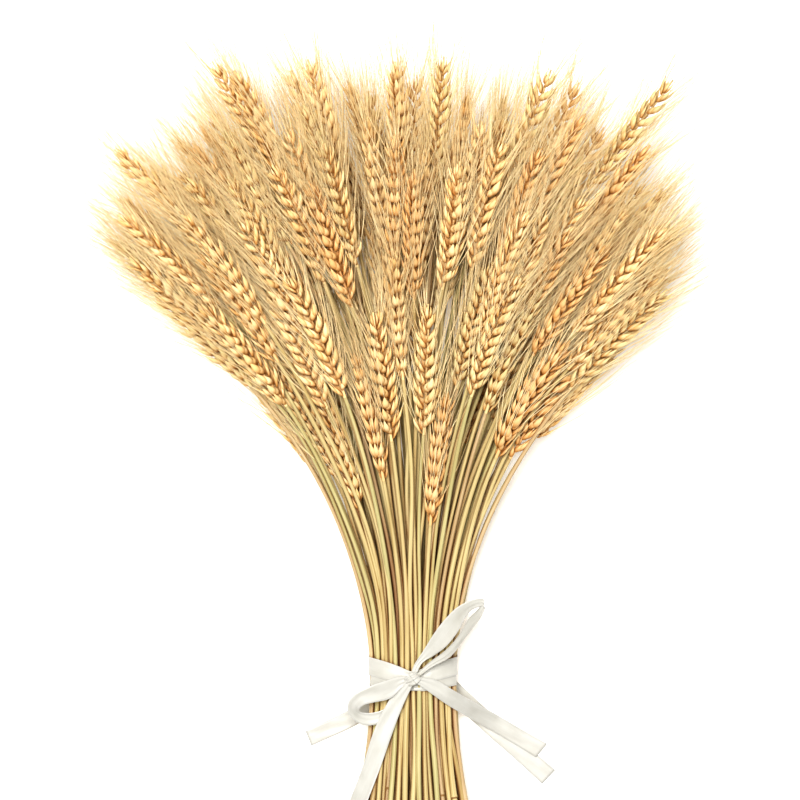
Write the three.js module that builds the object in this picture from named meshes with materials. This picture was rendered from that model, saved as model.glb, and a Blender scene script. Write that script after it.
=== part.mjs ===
// A bundle of dried wheat, gathered by a ribbon and lying on its side. Millimetres.
// +X is to the right, +Y runs from the cut ends to the ears, and +Z is up from the surface.
// Distances along Y are counted from the tie.
import * as THREE from 'three';

// ---- one stalk: a culm, its ear and the awns past the ear's tip, grown in one piece ----
const STEM_D = 3.1; // at the cut end
const STEM_TOP_D = 2.2; // below the ear
const EAR_LENGTH = 84;
const EAR_WIDTH = 11.5;
const EAR_THICKNESS = 9.5;
const AWN_LENGTH = 30;

// ---- how the stalks are gathered ----
const LAYER_COUNTS = [5, 6, 7, 8, 7, 8, 7, 4]; // stalks in each layer of the tie, lowest first
const STEM_GAP = 0.4; // free room between two places in the tie
const EAR_GAP = 0.5; // least free room round an ear
const SIDE_DOUBLES_AT = 102; // distance from the tie where the stalks are twice as far apart sideways
const HEIGHT_DOUBLES_AT = 140; // and where they are twice as far apart upwards
const FLARE_LENGTH = 92; // below the tie the stems open along a hyperbola of this length
const STRAY_SIDE = 0.45; // how far a stalk strays from its own line as it fans out, in places
const STRAY_UP = 0.25;
const LAYER_STRAY = 0.55; // how far a whole layer does

// ---- how long the stalks are ----
const TALLEST = 366; // from the tie to the tip of the longest ear
const HEAD_MIDDLE = 245; // from the tie to where the head of ears is widest
const HEAD_HALF_WIDTH = 168;
const HEAD_SQUARENESS = 2.5; // 2 would be an ellipse
const HEAD_LEAN = -8; // how far the head leans sideways at its middle
const TOP_DROP = 0.3; // how much shorter the highest layer is than the middle ones, as a share
const BOTTOM_DROP = 0.12; // and the lowest layer
const UNEVEN = 0.24; // how much shorter a stalk can be than the longest of its place, as a share
const CUT_BELOW = 100; // from the tie to the cut ends
const CUT_UNEVEN = 5;

// ---- the ribbon ----
const RIBBON_WIDTH = 11;
const RIBBON_THICKNESS = 0.6;
const TIE_GAP = 1; // between the stems and the ribbon round them
const TOUCH_GAP = 0.3; // between two pieces of ribbon that lie on each other
const BAND_WIDTH = 15; // two turns of ribbon that partly cover each other
const BAND_LEAN = 0.35; // the band's top leans this far towards the cut ends, as a share of its height
const KNOT_SIZE = [11, 10, 8];
const RIGHT_LOOP = 64; // how far each loop and tail reaches
const LEFT_LOOP = 44;
const LOOP_HEIGHT = 13;
const LEFT_TAIL = 100;
const RIGHT_TAIL = 96;
const BACK_LEFT_TAIL = 56;
const BACK_RIGHT_TAIL = 86;
const LEFT_TAIL_HEADING = 245; // degrees from +X
const RIGHT_TAIL_HEADING = 329;
const TAIL_FALL = 1.6; // how steeply a tail falls from the bundle's edge

// ---- how finely the solids are faceted ----
const STALK_SIDES = 6;
const STEM_STEPS = 8;
const EAR_STEPS = 7;
const SETTLE_STEPS = 24; // how many heights a stalk may try
const BAND_SIDES = 28;
const LOOP_STEPS = 18;
const DRAPE_STEPS = 14;

const PITCH = STEM_D + STEM_GAP;
const TOP_LAYER = LAYER_COUNTS.length - 1;
const WIDEST_PLACE = (Math.max(...LAYER_COUNTS) - 1) * PITCH;
const STEM_SEAT = RIBBON_THICKNESS + 2 * TIE_GAP; // the band passes under the lowest stems
const EAR_SEAT = (EAR_THICKNESS - STEM_D) / 2; // the lowest ears lie on the surface
const BAND_MARGIN = TIE_GAP + RIBBON_THICKNESS;
const STEMS_TOP = STEM_SEAT + TOP_LAYER * PITCH + STEM_D;
const BAND_TOP = STEMS_TOP + BAND_MARGIN;
const BAND_MIDDLE = (STEM_SEAT + STEMS_TOP) / 2;
const RIBBON_ON_BAND = BAND_TOP + TOUCH_GAP + RIBBON_THICKNESS / 2;
const KNOT_HEIGHT = BAND_TOP + TOUCH_GAP + KNOT_SIZE[2] / 2;
const KNOT_Y = -BAND_LEAN * (BAND_TOP - BAND_MIDDLE);

const { degToRad, lerp, seededRandom, smoothstep } = THREE.MathUtils;
const between = (low, high) => lerp(low, high, seededRandom());

// The centreline of one stalk. It has its own place in the tie, and leaves it along a parabola.
class StalkRoute extends THREE.Curve {
  constructor(place, topY) {
    super();
    Object.assign(this, place, { topY });
  }

  getPoint(t, target = new THREE.Vector3()) {
    const y = lerp(-this.cut, this.topY, t);
    if (y < 0) {
      const flare = Math.hypot(1, y / FLARE_LENGTH);
      const seat = STEM_SEAT * (1 + y / this.cut);
      return target.set(this.side * flare, y, STEM_D / 2 + seat + this.level * flare);
    }
    const seat = lerp(STEM_SEAT, EAR_SEAT, smoothstep(y, 0, SIDE_DOUBLES_AT));
    const side = this.side + (this.side + this.straySide) * (y / SIDE_DOUBLES_AT) ** 2
      + HEAD_LEAN * (y / HEAD_MIDDLE) ** 2;
    const level = this.level + (this.level + this.strayUp) * (y / HEIGHT_DOUBLES_AT) ** 2;
    return target.set(side, y, STEM_D / 2 + seat + level);
  }
}

// Half the stalk's width at a distance along it. The ear swells quickly and ends blunt, in its awns.
function halfWidth(along, earFrom, length) {
  if (along <= earFrom) return lerp(STEM_D, STEM_TOP_D, along / earFrom) / 2;
  const share = (along - earFrom) / EAR_LENGTH;
  const swell = (at) => (EAR_WIDTH / 2) * Math.sin(Math.PI * lerp(0.06, 0.9, at)) ** 0.6;
  if (share <= 1) return swell(share);
  return swell(1) * (1 - (along - earFrom - EAR_LENGTH) / (length - earFrom - EAR_LENGTH)) ** 0.8;
}

// A stalk whose ear's tip is at tipY, with points along it to measure its room by.
function growStalk(place, tipY) {
  const lean = 2 * tipY * (place.side / SIDE_DOUBLES_AT ** 2 + HEAD_LEAN / HEAD_MIDDLE ** 2);
  const route = new StalkRoute(place, tipY + AWN_LENGTH / Math.hypot(1, lean));
  const length = route.getLength();
  const earFrom = length - AWN_LENGTH - EAR_LENGTH;
  const samples = [];
  for (let along = place.cut + EAR_LENGTH / 2; along < length; along += EAR_THICKNESS / 2) {
    samples.push({ at: route.getPointAt(along / length), half: halfWidth(along, earFrom, length) });
  }
  return { ...place, route, length, earFrom, samples };
}

// The least free room between a stalk and the ones beside it.
function roomBetween(stalk, others) {
  let room = Infinity;
  for (const other of others) {
    for (const a of stalk.samples) {
      for (const b of other.samples) {
        if (Math.abs(a.at.y - b.at.y) < EAR_WIDTH) {
          room = Math.min(room, a.at.distanceTo(b.at) - a.half - b.half);
        }
      }
    }
  }
  return room;
}

// Ears slip past each other until each has room: a stalk takes the free height nearest to its own,
// and strays less the longer it has to look.
function settleStalk(place, grown) {
  const near = grown.filter((s) => Math.abs(s.layer - place.layer) < 4
    && Math.abs(s.side - place.side) < 6 * PITCH);
  let best;
  for (let step = 0; step < SETTLE_STEPS; step += 1) {
    const shift = (step % 2 ? -1 : 1) * Math.ceil(step / 2) * EAR_WIDTH / 2;
    const calm = 1 - step / SETTLE_STEPS;
    const tried = { ...place, straySide: place.straySide * calm, strayUp: place.strayUp * calm };
    const stalk = growStalk(tried, place.tipY + shift);
    const room = roomBetween(stalk, near);
    if (!best || room > best.room) best = { stalk, room };
    if (room > EAR_GAP) break;
  }
  return best.stalk;
}

// How far from the tie a stalk's line leaves the round outline of the head of ears.
function headReach(side) {
  const outside = (y) => {
    const x = side * (1 + (y / SIDE_DOUBLES_AT) ** 2);
    const up = Math.max(y - HEAD_MIDDLE, 0) / (TALLEST - HEAD_MIDDLE);
    return Math.abs(x / HEAD_HALF_WIDTH) ** HEAD_SQUARENESS + up ** HEAD_SQUARENESS > 1;
  };
  let reach = TALLEST;
  while (outside(reach)) reach -= 1;
  return reach;
}

// Stems stand on every second place of a square pattern, like the black squares of a chessboard.
function planPlaces() {
  const places = [];
  LAYER_COUNTS.forEach((count, layer) => {
    const face = (2 * layer) / TOP_LAYER - 1;
    const drop = face > 0 ? TOP_DROP : BOTTOM_DROP;
    const layerStray = between(-LAYER_STRAY, LAYER_STRAY);
    for (let i = 0; i < count; i += 1) {
      const side = (2 * i - (count - 1)) * PITCH;
      places.push({
        name: `stalk_layer${layer + 1}_${i + 1}`,
        layer,
        side,
        level: layer * PITCH,
        straySide: (layerStray + between(-STRAY_SIDE, STRAY_SIDE)) * PITCH,
        strayUp: layer === 0 ? 0 : between(-STRAY_UP, STRAY_UP) * PITCH,
        cut: CUT_BELOW + between(-CUT_UNEVEN, CUT_UNEVEN),
        tipY: headReach(side) * (1 - drop * face ** 2 - UNEVEN * seededRandom() ** 1.5),
        roll: degToRad(layer === 0 ? between(-12, 12) : between(-90, 90)),
        tint: seededRandom(),
      });
    }
  });
  return places;
}

// A straight turned stalk, bent along its route. An ear is thinner than it is wide.
function stalkGeometry(stalk) {
  const { route, length, earFrom, roll } = stalk;
  const profile = [new THREE.Vector2(0, 0)];
  const addRing = (along) => profile.push(new THREE.Vector2(halfWidth(along, earFrom, length), along));
  for (let i = 0; i <= STEM_STEPS; i += 1) addRing((earFrom * i) / STEM_STEPS);
  for (let i = 0; i <= EAR_STEPS; i += 1) addRing(earFrom + 1 + ((EAR_LENGTH - 1) * i) / EAR_STEPS);
  addRing(length - AWN_LENGTH / 2);
  profile.push(new THREE.Vector2(0, length));

  const geometry = new THREE.LatheGeometry(profile, STALK_SIDES);
  const points = geometry.attributes.position;
  const up = new THREE.Vector3(0, 0, 1);
  for (let i = 0; i < points.count; i += 1) {
    const along = points.getY(i);
    const share = Math.min(along / length, 1);
    const tangent = route.getTangentAt(share);
    const wide = new THREE.Vector3().crossVectors(tangent, up).normalize().applyAxisAngle(tangent, roll);
    const thin = new THREE.Vector3().crossVectors(wide, tangent);
    const flat = along > earFrom ? EAR_THICKNESS / EAR_WIDTH : 1;
    const at = route.getPointAt(share);
    at.addScaledVector(wide, points.getX(i)).addScaledVector(thin, points.getZ(i) * flat);
    points.setXYZ(i, at.x, at.y, at.z);
  }
  return geometry;
}

function stalkMesh(stalk) {
  const colour = new THREE.Color().setHSL(lerp(0.1, 0.135, stalk.tint), 0.5, lerp(0.52, 0.64, stalk.tint));
  const material = new THREE.MeshStandardMaterial({ color: colour, roughness: 0.75, metalness: 0 });
  const mesh = new THREE.Mesh(stalkGeometry(stalk), material);
  mesh.name = stalk.name;
  return mesh;
}

// The outline of a ring pulled tight round the stems: lines that touch them, and where those cross.
function outlineRoundStems(stalks, margin) {
  const step = (2 * Math.PI) / BAND_SIDES;
  const middle = STEM_D / 2 + STEM_SEAT;
  const reach = (angle) => STEM_D / 2 + margin + Math.max(...stalks.map(
    (s) => s.side * Math.cos(angle) + (s.level + middle) * Math.sin(angle)));
  const corners = [];
  for (let i = 0; i < BAND_SIDES; i += 1) {
    const a = i * step;
    const [here, next] = [reach(a), reach(a + step)];
    const x = (here * Math.sin(a + step) - next * Math.sin(a)) / Math.sin(step);
    const z = (next * Math.cos(a) - here * Math.cos(a + step)) / Math.sin(step);
    corners.push(new THREE.Vector2(x, z));
  }
  return corners;
}

function ribbonMesh(name, geometry) {
  const material = new THREE.MeshStandardMaterial({ color: '#f4f1ea', roughness: 0.45, metalness: 0 });
  const mesh = new THREE.Mesh(geometry, material);
  mesh.name = name;
  return mesh;
}

// The ribbon round the stems. Its top leans towards the cut ends.
function bandMesh(stalks) {
  const outline = new THREE.Shape(outlineRoundStems(stalks, BAND_MARGIN));
  outline.holes.push(new THREE.Path(outlineRoundStems(stalks, TIE_GAP)));
  const geometry = new THREE.ExtrudeGeometry(outline, { depth: BAND_WIDTH, bevelEnabled: false });
  geometry.translate(0, 0, -BAND_WIDTH / 2);
  geometry.rotateX(Math.PI / 2);
  geometry.translate(0, 0, -BAND_MIDDLE);
  geometry.applyMatrix4(new THREE.Matrix4().makeShear(0, 0, 0, 0, 0, -BAND_LEAN));
  geometry.translate(0, 0, BAND_MIDDLE);
  return ribbonMesh('ribbon_band', geometry);
}

function knotMesh() {
  const geometry = new THREE.SphereGeometry(0.5, 10, 8);
  geometry.scale(...KNOT_SIZE);
  geometry.translate(0, KNOT_Y, KNOT_HEIGHT);
  return ribbonMesh('ribbon_knot', geometry);
}

// A strip of ribbon, drawn in its own side view as a run of points, and then given its width.
// It sets out from a point, in a heading counted from +X, pitched up and rolled to its left.
function stripMesh(name, run, from, { heading, pitch = 0, roll = 0 }) {
  const half = RIBBON_THICKNESS / 2;
  const offset = (side) => run.map((point, i) => {
    const before = run[Math.max(i - 1, 0)];
    const after = run[Math.min(i + 1, run.length - 1)];
    const along = after.clone().sub(before).normalize();
    return new THREE.Vector2(point.x - side * half * along.y, point.y + side * half * along.x);
  });
  const shape = new THREE.Shape([...offset(1), ...offset(-1).reverse()]);
  const geometry = new THREE.ExtrudeGeometry(shape, { depth: RIBBON_WIDTH, bevelEnabled: false });
  geometry.translate(0, 0, -RIBBON_WIDTH / 2);
  geometry.rotateX(Math.PI / 2 - degToRad(roll));
  geometry.rotateY(-degToRad(pitch));
  geometry.rotateZ(degToRad(heading));
  geometry.translate(...from);
  return ribbonMesh(name, geometry);
}

// A loop of the bow: half a lemniscate, with both ends at the knot.
function loopRun(length, height) {
  const start = KNOT_SIZE[0] / 2 + TOUCH_GAP;
  const apart = RIBBON_THICKNESS;
  return Array.from({ length: LOOP_STEPS + 1 }, (_, i) => {
    const t = i / LOOP_STEPS;
    const along = start + (length - start) * Math.sin(Math.PI * t);
    return new THREE.Vector2(along, apart * Math.cos(Math.PI * t) + (height / 2) * Math.sin(2 * Math.PI * t));
  });
}

// How high a ribbon's middle must be to pass over the stems at a place.
function heightOverStems(stalks, x, y) {
  const tops = stalks.map(({ route, cut }) => {
    const at = route.getPoint((y + cut) / (route.topY + cut));
    return Math.abs(at.x - x) < RIBBON_WIDTH ? at.z + STEM_D / 2 + TOUCH_GAP : 0;
  });
  return Math.max(...tops) + RIBBON_THICKNESS / 2;
}

// A tail's side view, from the knot: it lies on the band, then on the stems, and then falls at the
// bundle's edge to what it rests on.
function drapedRun(stalks, start, length, heading, lowest) {
  const step = (length - start) / DRAPE_STEPS;
  const needed = (along) => {
    const x = along * Math.cos(degToRad(heading));
    const y = KNOT_Y + along * Math.sin(degToRad(heading));
    return Math.max(lowest, heightOverStems(stalks, x, y), along < BAND_WIDTH ? RIBBON_ON_BAND : 0);
  };
  let height = RIBBON_ON_BAND;
  return Array.from({ length: DRAPE_STEPS + 1 }, (_, i) => {
    const along = start + i * step;
    height = Math.max(height - TAIL_FALL * step, needed(along - step), needed(along), needed(along + step));
    return new THREE.Vector2(along, height);
  });
}

function flatRun(length, height) {
  return [new THREE.Vector2(0, height), new THREE.Vector2(length, height)];
}

function ribbonMeshes(stalks) {
  const knot = [0, KNOT_Y, KNOT_HEIGHT];
  const underKnot = [0, KNOT_Y, 0];
  const tailsPart = RIBBON_WIDTH / 2 / Math.tan(degToRad(RIGHT_TAIL_HEADING - LEFT_TAIL_HEADING) / 2);
  const start = Math.max(KNOT_SIZE[0] / 2, tailsPart) + TOUCH_GAP;
  const onSurface = RIBBON_THICKNESS / 2;
  const onTail = onSurface + RIBBON_THICKNESS + 2 * TOUCH_GAP;
  const leftTail = drapedRun(stalks, start, LEFT_TAIL, LEFT_TAIL_HEADING, onSurface);
  const rightTail = drapedRun(stalks, start, RIGHT_TAIL, RIGHT_TAIL_HEADING, onTail);
  const underEdge = LAYER_COUNTS[1] * PITCH; // where the lower layers leave room beside them
  return [
    bandMesh(stalks),
    knotMesh(),
    stripMesh('bow_loop_right', loopRun(RIGHT_LOOP, LOOP_HEIGHT), knot, { heading: 48, pitch: 14, roll: 28 }),
    stripMesh('bow_loop_left', loopRun(LEFT_LOOP, LOOP_HEIGHT), knot, { heading: 205, pitch: 14, roll: -25 }),
    stripMesh('tail_left', leftTail, underKnot, { heading: LEFT_TAIL_HEADING }),
    stripMesh('tail_right', rightTail, underKnot, { heading: RIGHT_TAIL_HEADING }),
    stripMesh('back_tail_left', flatRun(BACK_LEFT_TAIL, onSurface), [-underEdge, -6, 0], { heading: 214 }),
    stripMesh('back_tail_right', flatRun(BACK_RIGHT_TAIL, onSurface), [underEdge, -8, 0], { heading: 317 }),
  ];
}

seededRandom(2);
const stalks = [];
planPlaces().forEach((place) => stalks.push(settleStalk(place, stalks)));

const bundle = new THREE.Group();
bundle.name = 'dried_wheat_bundle';
bundle.add(...stalks.map(stalkMesh), ...ribbonMeshes(stalks));

// The origin is on the surface, under the middle of the bundle's box.
const box = new THREE.Box3().setFromObject(bundle, true);
const middle = box.getCenter(new THREE.Vector3());
bundle.position.set(-middle.x, -middle.y, -box.min.z);
bundle.updateMatrixWorld(true);

export default bundle;
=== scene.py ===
"""A bundle of dried wheat, tied with a white satin ribbon and lying on its side."""

import math
import random

import bmesh
import bpy
import numpy as np
from bpy.props import (
    FloatProperty,
    FloatVectorProperty,
    IntProperty,
    PointerProperty,
)
from mathutils import Matrix, Vector


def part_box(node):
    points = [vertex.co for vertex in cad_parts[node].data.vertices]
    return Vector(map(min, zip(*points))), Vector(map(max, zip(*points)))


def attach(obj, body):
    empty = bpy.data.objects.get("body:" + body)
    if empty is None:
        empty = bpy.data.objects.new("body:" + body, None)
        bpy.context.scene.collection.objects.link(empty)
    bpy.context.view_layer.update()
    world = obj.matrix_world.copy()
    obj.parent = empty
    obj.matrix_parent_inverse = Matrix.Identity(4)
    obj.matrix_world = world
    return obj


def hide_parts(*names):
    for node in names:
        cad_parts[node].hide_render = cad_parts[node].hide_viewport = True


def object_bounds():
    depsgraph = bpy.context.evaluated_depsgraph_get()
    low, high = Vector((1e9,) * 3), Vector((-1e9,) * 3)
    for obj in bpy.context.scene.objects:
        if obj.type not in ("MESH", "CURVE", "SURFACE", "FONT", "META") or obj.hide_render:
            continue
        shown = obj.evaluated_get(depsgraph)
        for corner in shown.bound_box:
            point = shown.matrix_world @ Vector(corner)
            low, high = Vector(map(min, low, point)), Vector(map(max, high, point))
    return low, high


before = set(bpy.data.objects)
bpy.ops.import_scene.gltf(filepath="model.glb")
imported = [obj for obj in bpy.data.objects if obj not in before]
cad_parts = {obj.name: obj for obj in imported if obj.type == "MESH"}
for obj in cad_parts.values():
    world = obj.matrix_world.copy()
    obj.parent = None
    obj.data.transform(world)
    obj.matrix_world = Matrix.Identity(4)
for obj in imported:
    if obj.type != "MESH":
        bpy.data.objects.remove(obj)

bl_info = {
    "name": "Dried Wheat Bundle",
    "version": (1, 0, 0),
    "blender": (4, 5, 0),
    "location": "3D View > Sidebar > Wheat",
    "description": "Models a bundle of dried wheat with its ribbon",
    "category": "Add Mesh",
}

CAD_BOX = [list(corner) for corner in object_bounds()]
MM = 0.001

# the CAD stalks, which the grown ones follow
STEM_RINGS = 9  # rings from the cut end to the base of the ear
EAR_RINGS = 8
STEM_BOTTOM = 0.0031
STEM_TOP = 0.0022
EAR_LENGTH = 0.084
CAD_AWN = 0.03  # how far the awns' solid point reaches past the ear

# the tie, which the ribbon's places are counted from
BAND_LOW, BAND_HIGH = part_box("ribbon_band")
TIE_X, TIE_Y, TIE_Z = [(low + high) / 2 for low, high in zip(BAND_LOW, BAND_HIGH)]
BAND_TOP = BAND_HIGH.z
BOW_X = TIE_X + 0.0012  # the bow sits a little to the right of the stems' middle

# where the pieces may lie
AWN_CEILING = CAD_BOX[1][2] + 0.007
FLOOR_ROOM = 0.0012  # what lies lower than this is pressed flat
EAR_ROOM = 0.012  # free room that is enough for an ear among its neighbours

VIEW_CENTRE = (TIE_X - 0.0078, TIE_Y + 0.1644)
# each light's name, place, size and power
LIGHTS = (
    ("key_light", (-0.2, 0.22, 1.9), 0.7, 33),
    ("fill_light", (0.5, -0.3, 1.9), 1.4, 5),
)
WORLD_LIGHT = 0.25


# ---- properties


def length_setting(name, description, default, lowest):
    return FloatProperty(
        name=name, description=description, default=default, min=lowest, unit="LENGTH"
    )


def colour_setting(name, description, default):
    return FloatVectorProperty(
        name=name,
        description=description,
        default=default,
        size=3,
        min=0,
        max=1,
        subtype="COLOR",
    )


class WheatSettings(bpy.types.PropertyGroup):
    """Sizes and colours of the stalks."""

    ear_width: length_setting(
        "Ear width", "Width of an ear across its two rows of spikelets", 0.0132, 0.005
    )
    awn_length: length_setting("Awn length", "Length of the longest awns", 0.057, 0.005)
    awn_thickness: length_setting(
        "Awn thickness", "Thickness of an awn where it leaves its husk", 0.0004, 0.0001
    )
    ear_forms: IntProperty(
        name="Ear forms",
        description="How many different ears are grown before they are bent to their places",
        default=8,
        min=1,
        max=24,
    )
    straw_gold: colour_setting("Golden straw", "Colour of ripe straw", (0.6, 0.49, 0.25))
    straw_green: colour_setting(
        "Greenish straw", "Colour of straw that was cut early", (0.5, 0.455, 0.225)
    )
    straw_pink: colour_setting(
        "Tan straw", "Colour of straw that has weathered to a pinkish tan", (0.56, 0.42, 0.25)
    )
    husk_light: colour_setting("Husk", "Colour of the husks' backs", (1.0, 0.83, 0.5))
    # painted shade: the deep colour laid over each husk's lower part, where the husks overlap
    husk_base_shade: colour_setting(
        "Husk base", "Colour of the husks near their base", (0.5, 0.22, 0.045)
    )
    awn_colour: colour_setting("Awns", "Colour of the awns", (1.0, 0.88, 0.58))


class RibbonSettings(bpy.types.PropertyGroup):
    """Sizes and colour of the ribbon."""

    width: length_setting("Ribbon width", "Width of the ribbon laid flat", 0.011, 0.005)
    thickness: length_setting(
        "Ribbon thickness", "Thickness of the ribbon's cloth", 0.00028, 0.0001
    )
    colour: colour_setting("Ribbon", "Colour of the satin", (0.58, 0.565, 0.515))


class StageSettings(bpy.types.PropertyGroup):
    """The floor and the camera."""

    floor_colour: colour_setting("Floor", "Colour of the floor", (0.93, 0.93, 0.93))
    floor_glow: FloatProperty(
        name="Floor glow",
        description="How brightly the floor glows, which softens the shadows on it",
        default=0.2,
        min=0,
    )
    camera_height: length_setting(
        "Camera height", "Height of the camera over the floor", 2.0, 0.5
    )
    view_width: length_setting(
        "View width", "Width of the view at the height of the tied stems", 0.48, 0.1
    )


# ---- materials


class Signal:
    """A number that varies over a surface, which Python's arithmetic works on."""

    def __init__(self, tree, socket):
        self.tree = tree
        self.socket = socket

    def _math(self, operation, *values):
        node = self.tree.nodes.new("ShaderNodeMath")
        node.operation = operation
        for socket, value in zip(node.inputs, values):
            if isinstance(value, Signal):
                self.tree.links.new(value.socket, socket)
            else:
                socket.default_value = value
        return Signal(self.tree, node.outputs[0])

    def __add__(self, other):
        return self._math("ADD", self, other)

    def __sub__(self, other):
        return self._math("SUBTRACT", self, other)

    def __mul__(self, other):
        return self._math("MULTIPLY", self, other)

    def __radd__(self, other):
        return self._math("ADD", other, self)

    def __rsub__(self, other):
        return self._math("SUBTRACT", other, self)

    def __rmul__(self, other):
        return self._math("MULTIPLY", other, self)

    def sine(self):
        return self._math("SINE", self)

    def absolute(self):
        return self._math("ABSOLUTE", self)


class Finish:
    """A procedural material, built node by node."""

    def __init__(self, name, roughness, specular=0.35):
        self.material = bpy.data.materials.new(name)
        self.material.use_nodes = True
        self.tree = self.material.node_tree
        self.tree.nodes.clear()
        output = self.tree.nodes.new("ShaderNodeOutputMaterial")
        self.shader = self.node(
            "ShaderNodeBsdfPrincipled",
            inputs={"Roughness": roughness, "Specular IOR Level": specular},
        )
        self.tree.links.new(self.shader.outputs[0], output.inputs["Surface"])

    def node(self, kind, settings=None, inputs=None):
        """A node of this type. Its settings are set first, then its sockets' values or links."""
        node = self.tree.nodes.new(kind)
        for name, value in (settings or {}).items():
            setattr(node, name, value)
        for name, value in (inputs or {}).items():
            self.feed(node.inputs[name], value)
        return node

    def feed(self, socket, value):
        if isinstance(value, Signal):
            self.tree.links.new(value.socket, socket)
        elif isinstance(value, bpy.types.NodeSocket):
            self.tree.links.new(value, socket)
        elif socket.type == "RGBA":
            socket.default_value = (*value, 1.0)
        else:
            socket.default_value = value

    def attribute(self, name, output="Fac"):
        node = self.node("ShaderNodeAttribute", {"attribute_name": name})
        if output == "Fac":
            return Signal(self.tree, node.outputs["Fac"])
        return node.outputs[output]

    def parts(self, vector):
        node = self.node("ShaderNodeSeparateXYZ", inputs={0: vector})
        return [Signal(self.tree, socket) for socket in node.outputs]

    def scaled(self, vector, scale, move=(0.0, 0.0, 0.0)):
        return self.node(
            "ShaderNodeMapping", inputs={"Vector": vector, "Scale": scale, "Location": move}
        ).outputs[0]

    def noise(self, vector, scale, detail=2.0, roughness=0.5):
        node = self.node(
            "ShaderNodeTexNoise",
            inputs={
                "Vector": vector,
                "Scale": scale,
                "Detail": detail,
                "Roughness": roughness,
            },
        )
        return Signal(self.tree, node.outputs["Fac"])

    def mix(self, share, first, second):
        node = self.node("ShaderNodeMix", {"data_type": "RGBA"})
        self.feed(node.inputs[0], share)
        self.feed(node.inputs[6], first)
        self.feed(node.inputs[7], second)
        return node.outputs[2]

    def layered(self, colour, *layers):
        """A colour with others laid over it, each by its own share."""
        for share, other in layers:
            colour = self.mix(share, colour, other)
        return colour

    def stretch(self, signal, low, high):
        """0 at low and 1 at high, and smooth between."""
        node = self.node(
            "ShaderNodeMapRange",
            {"interpolation_type": "SMOOTHSTEP"},
            {"Value": signal, "From Min": low, "From Max": high},
        )
        return Signal(self.tree, node.outputs[0])

    def painted_nook_shade(self, reach, open_part, closed_part):
        """Painted shade from an ambient occlusion node: 1 deep between pieces that lie closer than
        reach, and 0 where the surface is open.
        """
        node = self.node("ShaderNodeAmbientOcclusion", {"samples": 4}, {"Distance": reach})
        return 1.0 - self.stretch(Signal(self.tree, node.outputs["AO"]), closed_part, open_part)

    def colour(self, value):
        self.feed(self.shader.inputs["Base Color"], value)

    def constant(self, name, value):
        self.feed(self.shader.inputs[name], value)

    def bump(self, height, strength, distance):
        node = self.node(
            "ShaderNodeBump",
            inputs={"Height": height, "Strength": strength, "Distance": distance},
        )
        self.feed(self.shader.inputs["Normal"], node.outputs[0])


def straw_finish(name, settings):
    """Straw: fine lengthwise fibres, in gold, greenish or tan by the stalk."""
    finish = Finish(name, roughness=0.45, specular=0.22)
    form = finish.attribute("form", "Vector")
    tint = finish.attribute("tint")
    fibres = finish.noise(finish.scaled(form, (1800, 1800, 18)), 1.0, 3.0)
    blotches = finish.noise(finish.scaled(form, (90, 90, 14)), 1.0, 3.0)
    green = finish.stretch(tint, 0.4, 0.6)
    pink = finish.stretch(tint, 0.74, 0.84)
    colour = finish.layered(
        settings.straw_gold,
        (green, settings.straw_green),
        (pink, settings.straw_pink),
        (finish.stretch(blotches, 0.45, 0.75) * 0.45, (0.72, 0.6, 0.33)),
        (finish.stretch(blotches, 0.55, 0.2) * 0.5, (0.32, 0.18, 0.04)),
        (finish.stretch(fibres, 0.5, 0.75) * 0.35, (0.8, 0.66, 0.4)),
        (finish.stretch(fibres, 0.48, 0.3) * 0.45, (0.3, 0.16, 0.03)),
        # painted shade: deep brown where the straw lies close to other pieces
        (finish.painted_nook_shade(0.006, 0.82, 0.2) * 0.85, (0.2, 0.062, 0.012)),
    )
    finish.colour(colour)
    finish.bump(fibres, 0.5, 0.0002)
    return finish.material


def joint_finish(name):
    """The dark, slightly shrunken joint of a culm."""
    finish = Finish(name, roughness=0.6)
    form = finish.attribute("form", "Vector")
    speckle = finish.noise(finish.scaled(form, (900, 900, 900)), 1.0, 3.0)
    finish.colour(finish.mix(speckle, (0.2, 0.1, 0.035), (0.42, 0.26, 0.11)))
    finish.bump(speckle, 0.4, 0.0002)
    return finish.material


def pith_finish(name):
    """The pale inside of a cut culm."""
    finish = Finish(name, roughness=0.8, specular=0.2)
    form = finish.attribute("form", "Vector")
    grain = finish.noise(finish.scaled(form, (1500, 1500, 400)), 1.0, 3.0)
    finish.colour(finish.mix(grain, (0.5, 0.34, 0.15), (0.88, 0.74, 0.48)))
    finish.bump(grain, 0.4, 0.0002)
    return finish.material


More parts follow.
